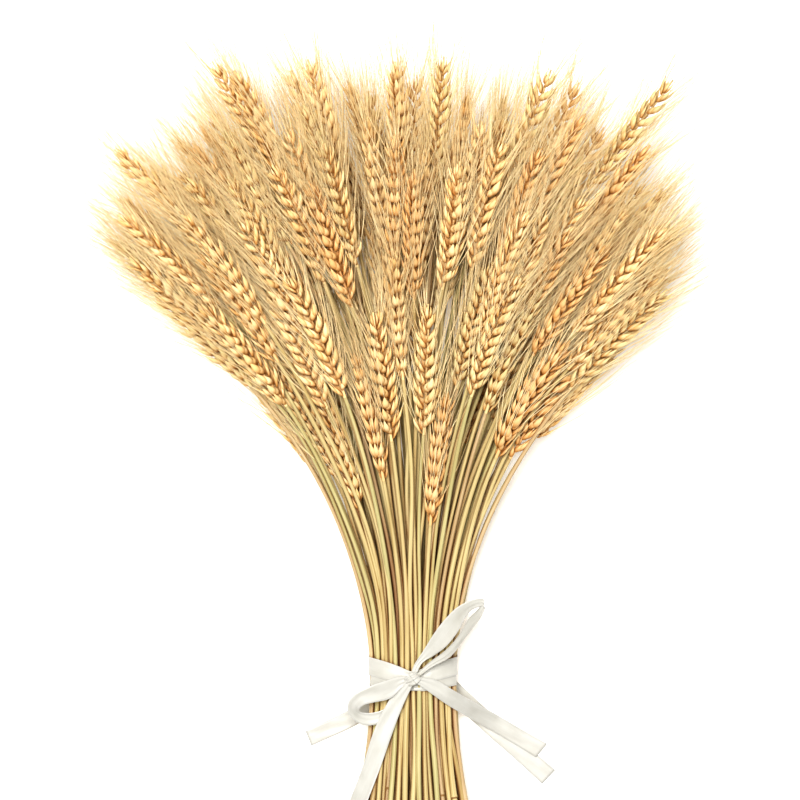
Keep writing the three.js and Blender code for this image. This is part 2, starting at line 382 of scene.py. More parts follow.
def husk_finish(name, settings):
    """Husks: pale on the back, with fine veins; deep gold painted shade at the base, where they
    overlap, and at the edges and tips, and painted shade where pieces lie close.
    """
    finish = Finish(name, roughness=0.62, specular=0.15)
    form = finish.attribute("form", "Vector")
    across, _, along = finish.parts(form)
    tint = finish.attribute("tint")
    husk_tint = finish.attribute("husk_tint")
    veins = finish.noise(finish.scaled(form, (9.0, 9.0, 0.6)), 1.0, 3.0)
    mottle = finish.noise(finish.scaled(form, (2.0, 2.0, 3.0), (3.0, 1.0, 0.0)), 1.0, 3.0)
    # painted shade: each husk's lower part, where it lies under its neighbours
    base_shade = 1.0 - finish.stretch(along, 0.06, 0.62)
    # painted shade: the husk's sides are darkened
    edge = finish.stretch(across.absolute(), 0.55, 1.0)
    # painted shade: the tips are darkened a little
    tip = finish.stretch(along, 0.8, 1.0)
    colour = finish.layered(
        settings.husk_light,
        (husk_tint, (0.76, 0.51, 0.21)),
        (finish.stretch(tint, 0.3, 0.05) * 0.45, (0.66, 0.34, 0.13)),
        (finish.stretch(tint, 0.55, 0.95) * 0.6, (0.6, 0.55, 0.3)),
        # painted shade over the base
        (base_shade * 0.85, settings.husk_base_shade),
        # painted shade at the edges
        (edge * 0.45, (0.56, 0.28, 0.08)),
        (finish.stretch(veins, 0.5, 0.7) * 0.35, (0.92, 0.78, 0.52)),
        (finish.stretch(mottle, 0.55, 0.8) * 0.4, (0.66, 0.38, 0.14)),
        # painted shade at the tips
        (tip * 0.35, (0.86, 0.6, 0.28)),
        # painted shade where pieces lie close
        (finish.painted_nook_shade(0.005, 0.7, 0.1) * 0.8, (0.34, 0.11, 0.008)),
    )
    finish.colour(colour)
    finish.bump(veins, 0.4, 0.0002)
    return finish.material


def awn_finish(name, settings):
    """Awns: pale, stiff bristles that darken towards their tips."""
    finish = Finish(name, roughness=0.5, specular=0.3)
    form = finish.attribute("form", "Vector")
    _, _, along = finish.parts(form)
    husk_tint = finish.attribute("husk_tint")
    colour = finish.layered(
        settings.awn_colour,
        (husk_tint, (0.96, 0.72, 0.39)),
        (finish.stretch(along, 0.4, 1.0) * 0.5, (0.5, 0.33, 0.15)),
    )
    finish.colour(colour)
    barbs = finish.noise(finish.scaled(form, (3.0, 3.0, 90.0)), 1.0, 1.0)
    finish.bump(barbs, 0.2, 0.0001)
    return finish.material


def satin_finish(name, settings):
    """White satin ribbon: a fine weave, woven edges and patches of painted shade."""
    finish = Finish(name, roughness=0.38, specular=0.45)
    place = finish.node("ShaderNodeUVMap", {"uv_map": "cloth"}).outputs[0]
    across, along, _ = finish.parts(place)
    threads = (along * 9000.0).sine() * 0.5 + (across * 7000.0).sine() * 0.5
    slubs = finish.noise(finish.scaled(place, (1500.0, 90.0, 1.0)), 1.0, 3.0)
    soft = finish.noise(finish.scaled(place, (60.0, 60.0, 1.0)), 1.0, 2.0)
    edge = finish.stretch((across - settings.width / 2).absolute(), 0.0047, 0.0053)
    colour = finish.layered(
        settings.colour,
        # painted shade: darker patches over the satin
        (finish.stretch(soft, 0.35, 0.7), (0.52, 0.505, 0.45)),
        (finish.stretch(slubs, 0.5, 0.75) * 0.3, (0.66, 0.65, 0.61)),
        (edge * 0.5, (0.7, 0.69, 0.66)),
    )
    finish.colour(colour)
    finish.bump(threads * 0.4 + slubs + edge * 0.8, 0.25, 0.0001)
    finish.constant("Sheen Weight", 0.25)
    finish.constant("Sheen Roughness", 0.4)
    return finish.material


def floor_finish(name, settings):
    """A plain matt floor."""
    finish = Finish(name, roughness=0.9, specular=0.1)
    place = finish.node("ShaderNodeTexCoord").outputs["Object"]
    grain = finish.noise(finish.scaled(place, (40.0, 40.0, 40.0)), 1.0, 2.0)
    finish.colour(finish.mix(grain * 0.06, settings.floor_colour, (0.88, 0.88, 0.88)))
    finish.constant("Emission Color", (1.0, 0.9, 0.74))
    finish.constant("Emission Strength", settings.floor_glow)
    return finish.material


# ---- modelling

STRAW, HUSK, AWN, STRAW_JOINT, CUT_END = range(5)  # the materials of a stalk, in their order


def finished_mesh(name, bm):
    mesh = bpy.data.meshes.new(name)
    bm.to_mesh(mesh)
    bm.free()
    return mesh


def put_in_scene(name, mesh, materials):
    """A new object with this mesh, at the origin."""
    piece = bpy.data.objects.new(name, mesh)
    for material in materials:
        mesh.materials.append(material)
    bpy.context.scene.collection.objects.link(piece)
    return piece


def grow_rings(bm, sides, rings, close_start=True, material=STRAW):
    """A closed skin up the Z axis, grown ring by ring.

    A ring is its height, half its width and half its depth."""
    made = bmesh.ops.create_circle(bm, cap_ends=False, segments=sides, radius=1.0)
    ring = made["verts"]
    everything = list(ring)
    height, wide, deep = rings[0]
    bmesh.ops.scale(bm, verts=ring, vec=(wide, deep, 1.0))
    bmesh.ops.translate(bm, verts=ring, vec=(0, 0, height))
    edges = list(dict.fromkeys(e for v in ring for e in v.link_edges))
    if close_start:
        bmesh.ops.edgeloop_fill(bm, edges=edges)
    for next_height, next_wide, next_deep in rings[1:]:
        grown = bmesh.ops.extrude_edge_only(bm, edges=edges)["geom"]
        ring = [g for g in grown if isinstance(g, bmesh.types.BMVert)]
        edges = [g for g in grown if isinstance(g, bmesh.types.BMEdge)]
        bmesh.ops.translate(bm, verts=ring, vec=(0, 0, -height))
        bmesh.ops.scale(bm, verts=ring, vec=(next_wide / wide, next_deep / deep, 1.0))
        bmesh.ops.translate(bm, verts=ring, vec=(0, 0, next_height))
        height, wide, deep = next_height, next_wide, next_deep
        everything += ring
    bmesh.ops.edgeloop_fill(bm, edges=edges)
    for vert in everything:
        for face in vert.link_faces:
            face.material_index = material
    return everything


def layers_of(bm):
    """The values that each point of a stalk keeps from before it was bent."""
    floats, vectors = bm.verts.layers.float, bm.verts.layers.float_vector
    return (
        vectors.get("form") or vectors.new("form"),
        floats.get("husk_tint") or floats.new("husk_tint"),
    )


def form_mesh(name, bm):
    bmesh.ops.recalc_face_normals(bm, faces=bm.faces)
    for face in bm.faces:
        face.smooth = True
    return finished_mesh(name, bm)


def husk_curve(height):
    """How far a husk curves forward at this share of its length."""
    return 0.16 * (2 * height - 0.9) ** 2


HUSK_TIP = Vector((0, -husk_curve(1.0), 1.0))


def husk_form():
    """One husk, 1 unit long: a plump boat that narrows to a point, with a flatter front."""
    bm = bmesh.new()
    form, _ = layers_of(bm)
    rings = [
        (0.0, 0.15, 0.16),
        (0.1, 0.36, 0.36),
        (0.33, 0.5, 0.5),
        (0.58, 0.43, 0.45),
        (0.81, 0.2, 0.24),
        (1.0, 0.03, 0.05),
    ]
    for vert in grow_rings(bm, 8, rings, material=HUSK):
        vert[form] = (vert.co.x * 2, vert.co.y * 2, vert.co.z)
        if vert.co.y < 0:
            vert.co.y *= 0.45
        vert.co.y -= husk_curve(vert.co.z)
    return form_mesh("husk_form", bm)


def awn_form():
    """One straight awn, 1 unit long and 1 unit thick."""
    bm = bmesh.new()
    form, _ = layers_of(bm)
    taper = [(0.0, 0.95), (0.07, 0.52), (0.3, 0.42), (0.53, 0.33), (0.76, 0.24), (1.0, 0.1)]
    for vert in grow_rings(bm, 3, [(at, half, half) for at, half in taper], material=AWN):
        vert[form] = vert.co
    return form_mesh("awn_form", bm)


def join_form(bm, mesh):
    """Adds a form to a bmesh and returns its new points."""
    count = len(bm.verts)
    bm.from_mesh(mesh)
    bm.verts.ensure_lookup_table()
    return bm.verts[count:]


def add_husk(bm, husk, at, turn, size, tint):
    _, husk_tint = layers_of(bm)
    verts = join_form(bm, husk)
    place = Matrix.Translation(at) @ turn.to_4x4() @ Matrix.Diagonal((*size, 1.0))
    bmesh.ops.transform(bm, matrix=place, verts=verts)
    for vert in verts:
        vert[husk_tint] = tint
    return place @ HUSK_TIP


def add_awn(bm, awn, start, leave, follow, length, thickness, tint):
    """An awn that leaves its husk in one direction and bends to follow another."""
    _, husk_tint = layers_of(bm)
    verts = join_form(bm, awn)
    leave, follow = leave.normalized(), follow.normalized()
    side = leave.orthogonal().normalized()
    other = leave.cross(side)
    for vert in verts:
        t = vert.co.z
        spine = start + length * (leave * (t - t * t / 2) + follow * (t * t / 2))
        vert.co = spine + (side * vert.co.x + other * vert.co.y) * thickness
        vert[husk_tint] = tint


# The husks of one spikelet, in millimetres and degrees: how far each starts across, outward and
# up, how far it fans out and how its back is turned, its width, depth and length, and its kind
# (0 outer, 1 inner, 2 middle).
SPIKELET = (
    (2.1, 1.0, 0.0, 8, 34, 4.8, 2.9, 9.0, 0),
    (-2.1, 1.0, 0.0, -8, 146, 4.8, 2.9, 9.0, 0),
    (1.5, 2.2, 1.7, 14, 46, 5.0, 3.5, 11.4, 1),
    (-1.5, 2.2, 1.7, -14, 134, 5.0, 3.5, 11.4, 1),
    (0.0, 3.0, 2.8, 0, 90, 4.0, 3.1, 9.4, 2),
)
# the least number of awns of each kind of husk, and how often it has one more
AWNS = ((0, 0.35), (1, 0.5), (1, 0.7))
# width, depth and length in millimetres of the husks at the very tip of an ear
TIP_HUSK = Vector((2.5, 2.0, 8.6))


def husk_facing(back, fan_angle):
    """A turn that points a husk's back this way, and fans it out."""
    spin = Matrix.Rotation(math.atan2(-back.x, back.y), 3, "Z")
    return Matrix.Rotation(-fan_angle, 3, "X") @ spin


def ear_form(number, settings, husk, awn):
    """One straight ear up the Z axis: a rachis with two rows of spikelets, and their awns."""
    rng = random.Random(100 + number)
    bm = bmesh.new()
    form, husk_tint = layers_of(bm)
    widths = [STEM_TOP * (0.5 - 0.03 * i) for i in range(9)]
    rachis = [(i * EAR_LENGTH / 8, width, width) for i, width in enumerate(widths)]
    for vert in grow_rings(bm, 6, rachis, close_start=False, material=HUSK):
        vert[form] = (0.0, 0.0, 0.7)
        vert[husk_tint] = 0.5
        vert.co.x += 0.0004 * math.sin(vert.co.z / EAR_LENGTH * 60)
    count = rng.choice((17, 18, 18, 19, 20))
    first, last = 0.0015, EAR_LENGTH - 0.0115
    unit = settings.ear_width / 0.0132
    for i in range(count):
        share = i / (count - 1)
        z = first + (last - first) * share + rng.uniform(-0.0003, 0.0003)
        # spikelets are smaller near both ends of an ear
        taper = min(1.0, 0.66 + 1.7 * share, 1.0 - 1.35 * (share - 0.68))
        plump = unit * taper * rng.uniform(0.9, 1.08)
        side = 1 if i % 2 else -1
        lean = math.radians(rng.uniform(13, 24)) * side
        shade = rng.random()
        spikelet = (
            Matrix.Rotation(math.radians(rng.gauss(0, 6)), 3, "Z")
            @ Matrix.Rotation(math.radians(rng.gauss(0, 3.5)), 3, "X")
            @ Matrix.Rotation(lean, 3, "Y")
        )
        for across, outward, up, fan, turn, wide, deep, long, kind in SPIKELET:
            fan_angle = math.radians(fan + rng.gauss(0, 4))
            # the husk's back faces outward and to its own side
            facing = math.radians(turn + rng.gauss(0, 8))
            back = Vector((math.sin(facing) * side, math.cos(facing), 0))
            husk_turn = spikelet @ husk_facing(back, fan_angle)
            at = Vector((0, 0, z)) + spikelet @ Vector(
                (outward * side * MM * plump, across * MM * plump, up * MM)
            )
            size = Vector((wide * rng.uniform(0.86, 1.08), deep, long)) * MM * plump
            size.z = long * MM * (0.72 + 0.28 * plump) * rng.uniform(0.88, 1.12)
            tint = min(1, max(0, 0.45 * shade + 0.55 * rng.random()))
            tip = add_husk(bm, husk, at, husk_turn, size, tint)
            leave = husk_turn @ Vector((0, -0.05, 1))
            chances = [rng.random() for _ in AWNS]
            fewest, chance = AWNS[kind]
            for _ in range(fewest + (chances[kind] < chance)):
                outward_by = side * rng.uniform(-0.04, 0.26) + rng.gauss(0, 0.07)
                across_by = rng.uniform(-0.05, 0.3)
                own_side = fan if fan else rng.uniform(-1, 1)
                follow = Vector((outward_by, math.copysign(across_by, own_side), 1))
                reach = settings.awn_length * (1 - 0.36 * share) * rng.uniform(0.75, 1.1)
                thickness = settings.awn_thickness * rng.uniform(0.7, 1.2)
                start = tip - leave * 0.0006
                add_awn(bm, awn, start, leave, follow, reach, thickness, rng.random())
    for turn in (90, 270, 0):
        # the spikelet at the very tip stands across the others
        facing = math.radians(turn)
        back = Vector((math.sin(facing), math.cos(facing), 0))
        spin = Matrix.Rotation(math.atan2(-back.x, back.y), 3, "Z")
        husk_turn = spin @ Matrix.Rotation(math.radians(-6), 3, "X")
        at = Vector((0, 0, last + 0.002)) + back * 0.0011
        tip = add_husk(bm, husk, at, husk_turn, TIP_HUSK * MM, rng.random())
        follow = back * 0.12 + Vector((0, 0, 1))
        reach = settings.awn_length * 0.55
        add_awn(bm, awn, tip, follow, follow, reach, settings.awn_thickness, 0.3)
    return form_mesh(f"ear_form_{number + 1}", bm)


# how wide a stem is at and near a joint, by the distance from the joint as a share of its length
JOINT = ((-0.007, 1.02), (-0.0022, 0.9), (0.0, 1.12), (0.0022, 1.16), (0.007, 1.04))


def culm_form(number, joint_at):
    """A straight stem, 1 unit long from -1 to 0, with a hollow cut end and sometimes a joint."""
    bm = bmesh.new()
    form, _ = layers_of(bm)
    swell = {i / 36: 1.0 for i in range(37)}
    if joint_at:
        swell = {height: 1.0 for height in swell if abs(height - joint_at) > 0.012}
        swell.update({joint_at + step: width for step, width in JOINT})
    rings = []
    for height in sorted(swell):
        width = (STEM_BOTTOM + (STEM_TOP - STEM_BOTTOM) * height) / 2 * swell[height]
        if joint_at and height > joint_at:
            # the sheath that wraps the stem above its joint
            width *= 1.06
        rings.append((height - 1, width, width))
    grow_rings(bm, 10, rings)
    for face in bm.faces:
        middle = face.calc_center_median().z + 1
        if joint_at and abs(middle - joint_at) < 0.0021:
            face.material_index = STRAW_JOINT
    cut = [f for f in bm.faces if len(f.verts) == 10 and f.calc_center_median().z < -0.99]
    wall = STEM_BOTTOM * 0.17
    bmesh.ops.inset_region(bm, faces=cut, thickness=wall, use_even_offset=True)
    pushed = bmesh.ops.extrude_discrete_faces(bm, faces=cut)["faces"]
    bmesh.ops.translate(bm, verts=pushed[0].verts, vec=(0, 0, 0.03))
    for face in bm.faces:
        if face.calc_center_median().z < -0.97 and all(
            math.hypot(v.co.x, v.co.y) < STEM_BOTTOM * 0.36 or v.co.z < -0.9999
            for v in face.verts
        ):
            face.material_index = CUT_END
    for vert in bm.verts:
        vert[form] = vert.co
    return form_mesh(f"culm_form_{number + 1}", bm)


# ---- the stalks


def steps(points):
    return np.linalg.norm(np.diff(points, axis=0), axis=1)


def smooth_line(points, count):
    """Points spaced evenly along a smooth line through the given ones."""
    at = np.concatenate([[0.0], np.cumsum(steps(points))])
    slope = np.gradient(points, at, axis=0)
    wanted = np.linspace(0, at[-1], count)
    k = np.clip(np.searchsorted(at, wanted, side="right") - 1, 0, len(at) - 2)
    width = (at[k + 1] - at[k])[:, None]
    t = ((wanted - at[k]) / width[:, 0])[:, None]
    return (
        (2 * t**3 - 3 * t**2 + 1) * points[k]
        + (t**3 - 2 * t**2 + t) * width * slope[k]
        + (-2 * t**3 + 3 * t**2) * points[k + 1]
        + (t**3 - t**2) * width * slope[k + 1]
    )


class Line:
    """A stalk's centreline, which gives points and directions at distances along it."""

    def __init__(self, points):
        self.points = smooth_line(np.asarray(points, float), 160)
        self.at = np.concatenate([[0.0], np.cumsum(steps(self.points))])
        self.slope = np.gradient(self.points, self.at, axis=0)
        self.length = self.at[-1]

    def frames(self, along):
        """Points and the three directions (across, up and along) at these distances.

        Past its end the line runs straight on."""
        held = np.clip(along, 0, self.length)
        at = np.stack([np.interp(held, self.at, self.points[:, i]) for i in range(3)], 1)
        forward = np.stack([np.interp(held, self.at, self.slope[:, i]) for i in range(3)], 1)
        forward /= np.linalg.norm(forward, axis=1)[:, None]
        at = at + forward * (along - held)[:, None]
        across = np.cross(forward, (0.0, 0.0, 1.0))
        across /= np.linalg.norm(across, axis=1)[:, None]
        return at, across, np.cross(across, forward), forward

    def where(self, heights):
        """X and Z where the line passes these Y, as a curve that runs on past both ends."""
        inside = (heights >= self.points[0, 1]) & (heights <= self.points[-1, 1])
        above = self.points[:, 1] > TIE_Y + 0.01
        found = []
        for i in (0, 2):
            fit = np.polyfit(self.points[above, 1], self.points[above, i], 2)
            run_on = np.polyval(fit, heights)
            on_line = np.interp(heights, self.points[:, 1], self.points[:, i])
            found.append(np.where(inside, on_line, run_on))
        return np.stack(found, 1)


def read_cad_stalk(node):
    """The centreline of a CAD stalk and the distance to its ear."""
    bm = bmesh.new()
    bm.from_mesh(node.data)
    bmesh.ops.remove_doubles(bm, verts=bm.verts, dist=1e-6)
    for start in sorted(bm.verts, key=lambda v: v.co.y)[:8]:
        rings, seen = [[start]], {start}
        while rings[-1]:
            ring = {e.other_vert(v) for v in rings[-1] for e in v.link_edges} - seen
            seen |= ring
            rings.append(list(ring))
        rings.pop()
        if len(rings) == STEM_RINGS + EAR_RINGS + 3 and all(len(r) == 6 for r in rings[1:-1]):
            break
    else:
        raise RuntimeError(f"{node.name} isn't the turned stalk that was expected")
    centres = [np.mean([np.array(v.co) for v in ring], axis=0) for ring in rings[1:]]
    line = Line(centres)
    ear_base = np.array(centres[STEM_RINGS - 1])
    ear_from = line.at[np.argmin(np.linalg.norm(line.points - ear_base, axis=1))]
    bm.free()
    return line, ear_from


def bend(template_culm, template_ear, name, line, ear_from, habit):
    """A copy of a straight culm and ear, bent along a line, with its own habit of growth."""
    ear_scale, tint = habit["ear_scale"], habit["tint"]
    bm = bmesh.new()
    bm.from_mesh(template_culm)
    bm.from_mesh(template_ear)
    mesh = finished_mesh(name, bm)
    count = len(mesh.vertices)
    co = np.empty(count * 3, np.float32)
    mesh.vertices.foreach_get("co", co)
    co = co.reshape(-1, 3).astype(float)
    form = np.empty(count * 3, np.float32)
    mesh.attributes["form"].data.foreach_get("vector", form)
    form = form.reshape(-1, 3)
    in_ear = co[:, 2] >= 0
    along = np.where(in_ear, ear_from + co[:, 2] * ear_scale[2], (co[:, 2] + 1) * ear_from)
    # a stem's own lengthwise place is counted in metres
    culm = form[:, 2] < 0
    form[culm, 2] = along[culm]
    form[culm, 0] += tint * 7
    girth = habit["girth"] + (1 - habit["girth"]) * np.clip(along / ear_from, 0, 1) ** 2
    across_by = np.where(in_ear, ear_scale[0], girth) * co[:, 0]
    up_by = np.where(in_ear, ear_scale[1], girth) * co[:, 1]
    at, across, up, _ = line.frames(along)
    into_ear = np.clip((along - ear_from) / 0.08, 0, 1)
    roll = (habit["roll"] + habit["twist"] * into_ear)[:, None]
    wide = across * np.cos(roll) + up * np.sin(roll)
    deep = up * np.cos(roll) - across * np.sin(roll)
    placed = at + wide * across_by[:, None] + deep * up_by[:, None]
    # a stem is never quite straight, except where the ribbon holds it
    held = 1 - 0.75 * np.exp(-(((at[:, 1] - TIE_Y) / 0.03) ** 2))
    (side_by, side_phase), (rise_by, rise_phase) = habit["sway"]
    wave = at[:, 1] * habit["wave"]
    placed += across * (side_by * held * np.sin(wave + side_phase))[:, None]
    placed += up * (rise_by * held * np.sin(wave * 0.8 + rise_phase))[:, None]
    # awns that would stand too high lie over
    high = placed[:, 2] > AWN_CEILING
    placed[high, 2] = AWN_CEILING + (placed[high, 2] - AWN_CEILING) * 0.25
    # what would sink below the surface is pressed flat on it
    low = placed[:, 2] < FLOOR_ROOM
    sunk = (placed[low, 2] - FLOOR_ROOM) / FLOOR_ROOM
    placed[low, 2] = 0.0001 + FLOOR_ROOM * np.exp(sunk)
    mesh.vertices.foreach_set("co", placed.astype(np.float32).ravel())
    mesh.attributes["form"].data.foreach_set("vector", form.ravel())
    tints = mesh.attributes.new("tint", "FLOAT", "POINT")
    tints.data.foreach_set("value", np.full(count, tint, np.float32))
    # the bend mirrors a stalk, so its faces are turned to point outward again
    mesh.flip_normals()
    mesh.update()
    return mesh


class WheatBuilder:
    """Everything that the stalks share: their straight forms, materials and random order."""

    def __init__(self, settings):
        self.rng = random.Random(7)
        husk, awn = husk_form(), awn_form()
        self.ears = [ear_form(i, settings, husk, awn) for i in range(settings.ear_forms)]
        joints = (None, None, 0.105, None, 0.06, None)
        self.culms = [culm_form(i, at) for i, at in enumerate(joints)]
        self.materials = [
            straw_finish("straw", settings),
            husk_finish("husk", settings),
            awn_finish("awn", settings),
            joint_finish("straw_joint"),
            pith_finish("straw_cut_end"),
        ]
        for mesh in (husk, awn):
            bpy.data.meshes.remove(mesh)

    def stalk(self, name, line, ear_from, roll, size=1.0, girth=1.0):
        rng = self.rng
        ear_length = (line.length - ear_from - CAD_AWN) / EAR_LENGTH
        wide, deep = size * rng.uniform(0.93, 1.05), size * rng.uniform(0.93, 1.05)
        habit = {
            "ear_scale": (wide, deep, ear_length),
            "tint": rng.random(),
            "roll": roll,
            "twist": rng.uniform(-0.5, 0.5),
            "girth": girth * rng.uniform(1.0, 1.2),
            "wave": rng.uniform(26, 46),
            "sway": [(rng.uniform(0.0005, 0.0023), rng.uniform(0, 6.28)) for _ in range(2)],
        }
        mesh = bend(rng.choice(self.culms), rng.choice(self.ears), name, line, ear_from, habit)
        piece = put_in_scene(name, mesh, self.materials)
        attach(piece, "root")
        return piece

    def finish(self):
        for mesh in (*self.ears, *self.culms):
            bpy.data.meshes.remove(mesh)


def cad_layers():
    """The CAD stalks layer by layer, each from left to right, as (name, line, ear_from)."""
    layers = {}
    for name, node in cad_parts.items():
        if name.startswith("stalk_layer"):
            layer, place = (int(part) for part in name.removeprefix("stalk_layer").split("_"))
            layers.setdefault(layer, {})[place] = (name, *read_cad_stalk(node))
    return [[found for _, found in sorted(layer.items())] for _, layer in sorted(layers.items())]


def neighbours(layers):
    """Pairs of CAD stalks that another stalk fits between, with its girth."""
    pairs = [(pair, 1.0) for layer in layers for pair in zip(layer, layer[1:])]
    # thinner stalks stand in the corners between four others
    for lower, upper in zip(layers, layers[1:]):
        for stalk in lower:
            foot = stalk[1].points[0, 0]
            beside = [other for other in upper if other[1].points[0, 0] > foot]
            if beside:
                pairs.append(((stalk, beside[0]), 0.8))
    return pairs


def ear_samples(line, ear_from):
    at, *_ = line.frames(ear_from + np.linspace(0.005, 0.08, 6))
    return at


def ear_turn(rng):
    """Most ears show their two rows, and the others show one row's back."""
    return rng.gauss(0.0, 0.5) if rng.random() < 0.6 else rng.uniform(0.7, 2.4)


def line_between(rng, left, right, highest, taken):
    """A centreline between two others, as long as leaves its ear the most room."""
    natural = (left.points[-1, 1] + right.points[-1, 1]) / 2
    shift = (rng.uniform(-0.0008, 0.0008), rng.uniform(-0.0006, 0.0006))
    best = None
    for _ in range(20):
        tip = min(natural + rng.uniform(-0.06, 0.04), highest)
        foot = TIE_Y - rng.uniform(0.095, 0.105)
        heights = np.linspace(foot, tip, 60)
        middle = (left.where(heights) + right.where(heights)) / 2 + shift
        if abs(middle[-1, 0]) > CAD_BOX[1][0] or middle[-1, 1] > CAD_BOX[1][2]:
            continue
        line = Line(np.column_stack([middle[:, 0], heights, middle[:, 1]]))
        ear_from = line.length - (EAR_LENGTH + CAD_AWN)
        samples = ear_samples(line, ear_from)
        room = min(
            np.linalg.norm(samples[:, None] - other[None], axis=2).min() for other in taken
        )
        if best is None or room > best[0]:
            best = (room, line, ear_from, samples)
        if room > EAR_ROOM:
            break
    return best[1:]


class WHEAT_OT_stalks(bpy.types.Operator):
    """Grows every stalk of the bundle: culm, ear and awns"""

    bl_idname = "wheat.stalks"
    bl_label = "Stalks"

    def execute(self, context):
        builder = WheatBuilder(context.scene.wheat)
        rng = random.Random(31)
        layers = cad_layers()
        taken = []
        for layer in layers:
            for name, line, ear_from in layer:
                piece = builder.stalk(f"{name}_wheat", line, ear_from, ear_turn(rng))
                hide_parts(name)
                taken.append(ear_samples(line, ear_from))
        highest = max(line.points[-1, 1] for layer in layers for _, line, _ in layer)
        for number, ((left, right), girth) in enumerate(neighbours(layers)):
            line, ear_from, samples = line_between(rng, left[1], right[1], highest, taken)
            taken.append(samples)
            roll, size = ear_turn(rng), rng.uniform(0.88, 1.0)
            name = f"stalk_between_{number + 1}"
            builder.stalk(name, line, ear_from, roll, size, girth)
        builder.finish()
        return {"FINISHED"}


# ---- the ribbon


def strip_mesh(name, width, length, across, along, place, thickness):
    """A strip of ribbon: a flat grid that is laid where place says, then given its thickness.

    place takes an array of shares across and along, and returns points."""
    bm = bmesh.new()
    bmesh.ops.create_grid(bm, x_segments=across, y_segments=along, size=0.5)
    cloth = bm.loops.layers.uv.new("cloth")
    for face in bm.faces:
        for loop in face.loops:
            u, v = loop.vert.co.x + 0.5, loop.vert.co.y + 0.5
            loop[cloth].uv = (u * width, v * length)
    flat = np.array([(v.co.x + 0.5, v.co.y + 0.5) for v in bm.verts])
    for vert, point in zip(bm.verts, place(flat[:, 0], flat[:, 1])):
        vert.co = point
    for face in bm.faces:
        face.smooth = True
    bmesh.ops.solidify(bm, geom=bm.faces, thickness=thickness)
    bmesh.ops.recalc_face_normals(bm, faces=bm.faces)
    return finished_mesh(name, bm)


def through(stations, at, count=400):
    """Values along a smooth run through the stations, at shares of its length from 0 to 1."""
    line = smooth_line(np.asarray(stations, float), count)
    share = np.linspace(0, 1, count)
    return np.stack([np.interp(at, share, line[:, i]) for i in range(line.shape[1])], 1)


def edged_strip(left, right, crown, ripple, seed):
    """Where a strip lies that runs between two edges, given in millimetres from the tie.

    crown lifts its middle, and ripple waves it a little."""
    edges = np.hstack([left, right])

    def place(u, v):
        both = through(edges, v)
        one, other = both[:, :3], both[:, 3:]
        point = one + (other - one) * u[:, None]
        side = other - one
        before, after = np.maximum(v - 0.01, 0), np.minimum(v + 0.01, 1)
        ahead = through(edges, after) - through(edges, before)
        forward = ahead[:, :3] + ahead[:, 3:]
        normal = np.cross(side, forward)
        normal /= np.maximum(np.linalg.norm(normal, axis=1), 1e-9)[:, None]
        # a strip that is narrower than the ribbon lies in pleats
        gathered = np.clip(1 - np.linalg.norm(side, axis=1) / 10.5, 0, 1)
        wave = np.sin(2 * np.pi * (u * 1.3 + v * 2.1 + seed))
        lift = crown * np.sin(np.pi * u) + ripple * wave
        pleats = gathered * 0.9 * np.sin(2 * np.pi * 2.5 * u + seed)
        point = point + normal * (lift + pleats)[:, None]
        return point * MM + (BOW_X, TIE_Y, 0.0)

    return place


def satin(settings):
    return bpy.data.materials.get("white_satin") or satin_finish("white_satin", settings)


def ribbon_piece(context, mesh, node):
    piece = put_in_scene(mesh.name, mesh, [satin(context.scene.ribbon)])
    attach(piece, "root")
    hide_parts(node)


def edge_ribbon(context, node, held, rests_on, crown, ripple, seed, left, right):
    """A ribbon piece whose two edges are given, in millimetres from the tie."""
    ribbon = context.scene.ribbon
    middle = (np.asarray(left, float) + np.asarray(right, float)) / 2
    length = float(steps(smooth_line(middle, 300)).sum()) * MM
    rows = max(12, int(length / 0.0015))
    place = edged_strip(left, right, crown, ripple, seed)
    mesh = strip_mesh(f"{node}_satin", ribbon.width, length, 8, rows, place, ribbon.thickness)
    ribbon_piece(context, mesh, node)


class WHEAT_OT_band(bpy.types.Operator):
    """Winds the ribbon twice round the stems"""

    bl_idname = "wheat.band"
    bl_label = "Ribbon round the stems"

    def execute(self, context):
        ribbon = context.scene.ribbon
        verts = np.array([v.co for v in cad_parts["ribbon_band"].data.vertices], float)
        flat = verts[:, [0, 2]] - (TIE_X, TIE_Z)
        facing = np.linspace(0, 2 * np.pi, 96, endpoint=False)
        reach = (flat @ np.array([np.cos(facing), np.sin(facing)])).max(0)

        def radius(angle, inset):
            part = np.cos(angle[:, None] - facing[None])
            return np.where(part > 0.1, (reach - inset)[None] / np.maximum(part, 0.1), 9).min(1)

        turn = np.linspace(0, 2 * np.pi, 200)
        outline = radius(turn, 0.0013)[:, None] * np.stack([np.cos(turn), np.sin(turn)], 1)
        length = float(steps(outline).sum())

        def turn_of_ribbon(inset, lean, rise):
            def place(u, v):
                angle = np.pi / 2 + v * 2 * np.pi
                top = np.clip(np.sin(angle), 0, 1) ** 2
                near = np.exp(-(((v - np.round(v)) * length / 0.008) ** 2))
                width = ribbon.width * (1 - 0.25 * near)
                wrinkle = 0.0005 * near * np.sin(u * 15) + 0.00015 * np.sin(u * 7 + angle * 5)
                r = radius(angle, inset) + wrinkle
                x = TIE_X + r * np.cos(angle)
                z = TIE_Z + r * np.sin(angle)
                y = TIE_Y + (rise + lean * top) * MM + (u - 0.5) * width
                return np.stack([x, y, z], 1)

            return place

        bm = bmesh.new()
        for inset, lean, rise in ((0.0014, -4.2, -1.8), (0.0008, -7.2, 4.6)):
            place = turn_of_ribbon(inset, lean, rise)
            mesh = strip_mesh("turn", ribbon.width, length, 8, 120, place, ribbon.thickness)
            bm.from_mesh(mesh)
            bpy.data.meshes.remove(mesh)
        bmesh.ops.recalc_face_normals(bm, faces=bm.faces)
        mesh = finished_mesh("ribbon_band_satin", bm)
        flat = (ribbon.width, 2 * length)
        ribbon_piece(context, mesh, "ribbon_band")
        return {"FINISHED"}


